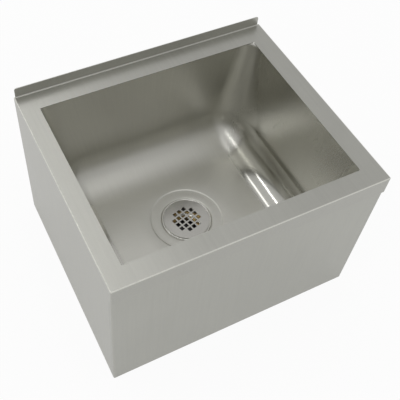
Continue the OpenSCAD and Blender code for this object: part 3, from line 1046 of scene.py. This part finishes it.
plate_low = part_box("strainer_plate")[0]
plate_mesh = grown_mesh("strainer_disc", disc_tree, {
    "Centre": (drain_middle.x, drain_middle.y, plate_low.z),
})
plate_mesh.materials.clear()
strainer = new_piece("strainer_disc", close_seam(plate_mesh), "strainer_steel", body="strainer")
soften_edges(strainer, 0.5 * MM, math.radians(40))
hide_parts("strainer_plate")
print("strainer faces:", len(plate_mesh.polygons))

# %% [markdown]
# ## Fittings with softened edges
# Machined nuts and cut rubber never have knife edges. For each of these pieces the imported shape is
# already right, so a merged copy of it gets a small bevel, which catches light along every edge.

# %% Softened copies of the small fittings
FLAT_ANGLE = math.radians(0.5)


def softened_copy(node, name, finish, width):
    """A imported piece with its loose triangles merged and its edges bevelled."""
    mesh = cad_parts[node].data.copy()
    mesh.name = name
    mesh.materials.clear()
    work = bmesh.new()
    work.from_mesh(mesh)
    bmesh.ops.remove_doubles(work, verts=work.verts, dist=SAME_POINT)
    bmesh.ops.dissolve_limit(work, angle_limit=FLAT_ANGLE, verts=work.verts, edges=work.edges)
    work.to_mesh(mesh)
    work.free()
    piece = new_piece(name, mesh, finish)
    soften_edges(piece, width, SHARP_ANGLE)
    mesh.shade_smooth()
    mesh.set_sharp_from_angle(angle=SHARP_ANGLE)
    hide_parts(node)
    return piece


for node, name, finish, slot_name, width in (
    ("locknut", "clamp_nut", "brass", "brass", 0.7 * MM),
    ("compression_ring", "squeeze_ring", "brass", "brass", 0.5 * MM),
    ("foot_gussets", "gusset_plates", "mill_steel", "mill_steel", 0.4 * MM),
    ("sound_pads", "deadening_pads", "black_rubber", "black_rubber", 0.8 * MM),
):
    piece = softened_copy(node, name, finish, width)
    print(piece.name, "faces:", len(piece.data.polygons))

# %% [markdown]
# ## Floor
# A plain pale floor lies under the skirt, takes a faint shadow from the sink and is what its panels
# mirror. Its white is mostly a glow that only the camera and mirrors see, so it lights nothing else.
# The patch inside the box has no glow and is painted dark grey as painted shade, because the drain
# would show it as a bright spot where the real one is dark.

# %% Paint that glows for the camera and mirrors
SEEN_WHITE, MIRRORED_WHITE = 0.93, 0.42
# SHADED_GREY is the dark grey of the patch inside the box: painted shade
FLOOR_GREY, SHADED_GREY = 0.93, 0.2
FLOOR_ROUGHNESS = 0.9


def floor_paint(name, grey):
    """Matt paint of one grey, with its node tree and its shader."""
    paint, tree, shader = new_finish(name, 0.0)
    shader.inputs["Base Color"].default_value = (grey, grey, grey, 1)
    shader.inputs["Roughness"].default_value = FLOOR_ROUGHNESS
    return paint, tree, shader


def add_glow(tree, shader):
    """White light mixed in where a camera ray, or one off metal or through glass, arrives."""
    ray = tree.nodes.new("ShaderNodeLightPath").outputs
    mirrored = add_math(tree, "ADD", ray["Is Glossy Ray"], ray["Is Transmission Ray"], clamp=True)
    seen = add_math(tree, "MULTIPLY", ray["Is Camera Ray"], SEEN_WHITE)
    mirrored = add_math(tree, "MULTIPLY", mirrored, MIRRORED_WHITE)
    white = tree.nodes.new("ShaderNodeEmission")
    mixed = tree.nodes.new("ShaderNodeMixShader")
    tree.links.new(add_math(tree, "ADD", seen, mirrored), mixed.inputs["Fac"])
    tree.links.new(shader.outputs[0], mixed.inputs[1])
    tree.links.new(white.outputs[0], mixed.inputs[2])
    tree.links.new(mixed.outputs[0], tree.nodes["Material Output"].inputs["Surface"])


pale_paint, pale_tree, pale_shader = floor_paint("floor_paint", FLOOR_GREY)
add_glow(pale_tree, pale_shader)
shaded_paint = floor_paint("shaded_floor", SHADED_GREY)[0]
print("floor paints:", pale_paint.name, shaded_paint.name)

# %% Pale floor, with a patch inside the box that doesn't glow and is painted dark as shade
FLOOR_HALF = 60.0
FLOOR_DROP = 0.5 * MM
UNDER_BOX = (0.3, 0.25)
INNER_PATCH = 4  # the middle one of the nine
floor_x = (-FLOOR_HALF, -UNDER_BOX[0], UNDER_BOX[0], FLOOR_HALF)
floor_y = (-FLOOR_HALF, -UNDER_BOX[1], UNDER_BOX[1], FLOOR_HALF)
floor_mesh = bpy.data.meshes.new("studio_floor")
floor_mesh.from_pydata(
    [(x, y, -FLOOR_DROP) for y in floor_y for x in floor_x], [],
    [(k, k + 1, k + 5, k + 4) for k in (0, 1, 2, 4, 5, 6, 8, 9, 10)],
)
floor_mesh.materials.append(pale_paint)
floor_mesh.materials.append(shaded_paint)
floor_mesh.polygons[INNER_PATCH].material_index = 1
floor = bpy.data.objects.new("studio_floor", floor_mesh)
scene.collection.objects.link(floor)
print("floor patches:", len(floor_mesh.polygons))
